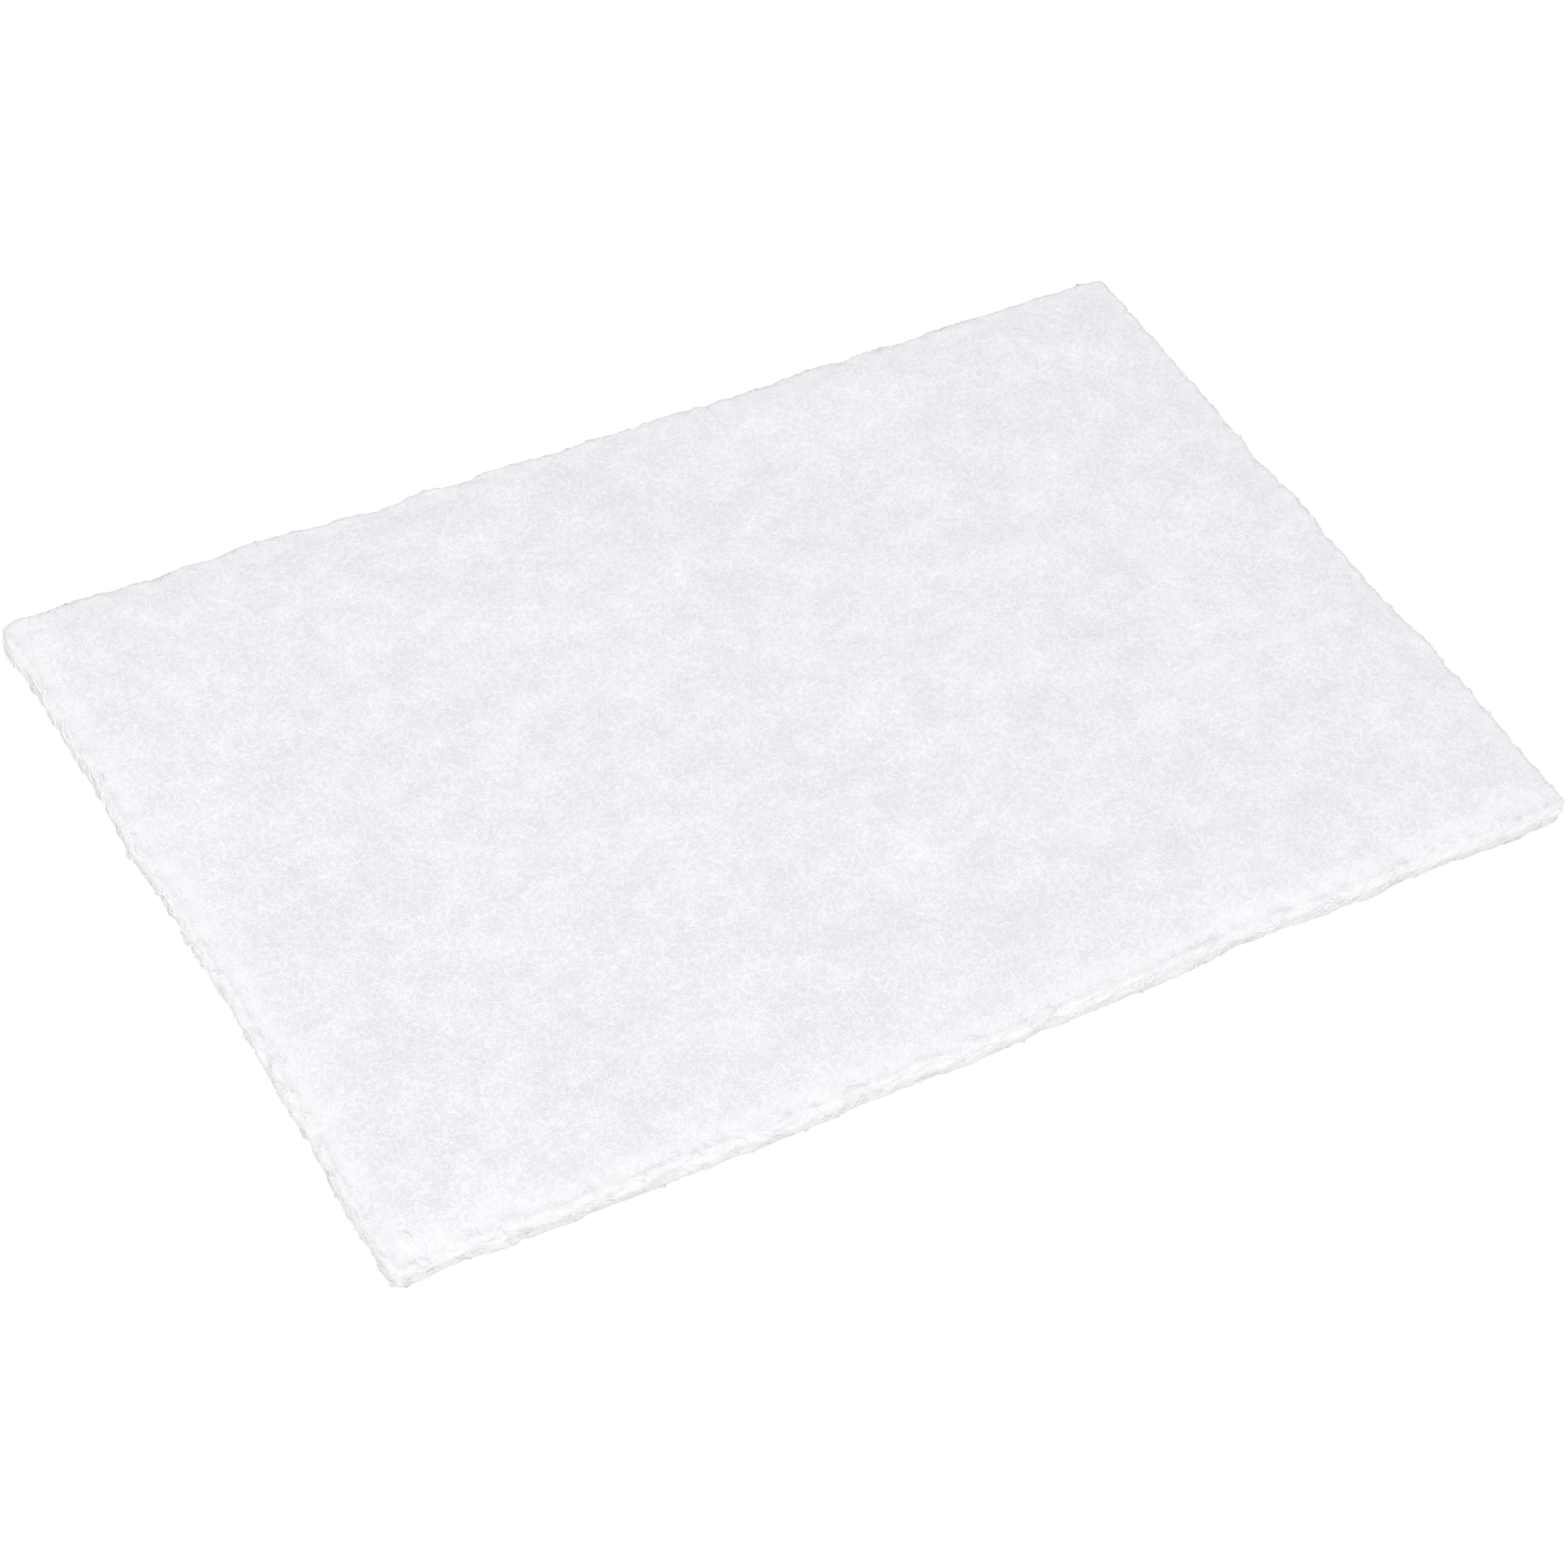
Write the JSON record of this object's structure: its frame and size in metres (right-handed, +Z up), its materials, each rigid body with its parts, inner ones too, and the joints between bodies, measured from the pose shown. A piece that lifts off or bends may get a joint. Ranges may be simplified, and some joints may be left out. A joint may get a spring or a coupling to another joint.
{
  "type": "nylon scouring pad",
  "caption": "Thin rectangular scouring pad of white nonwoven nylon web, with soft shoulders and rough wavy cut edges, lying flat.",
  "frame": {"origin": "centre of the pad's footprint, on the surface that it lies on", "axes": "+X along the pad's length, +Y across its width, +Z up through its thickness"},
  "size_m": [0.2292, 0.1516, 0.0068],
  "materials": {
    "nylon_web": "matte open fibre web, white with a faint lavender tint"
  },
  "bodies": {
    "root": {"scouring_pad": "nylon_web"}
  },
  "joints": []
}
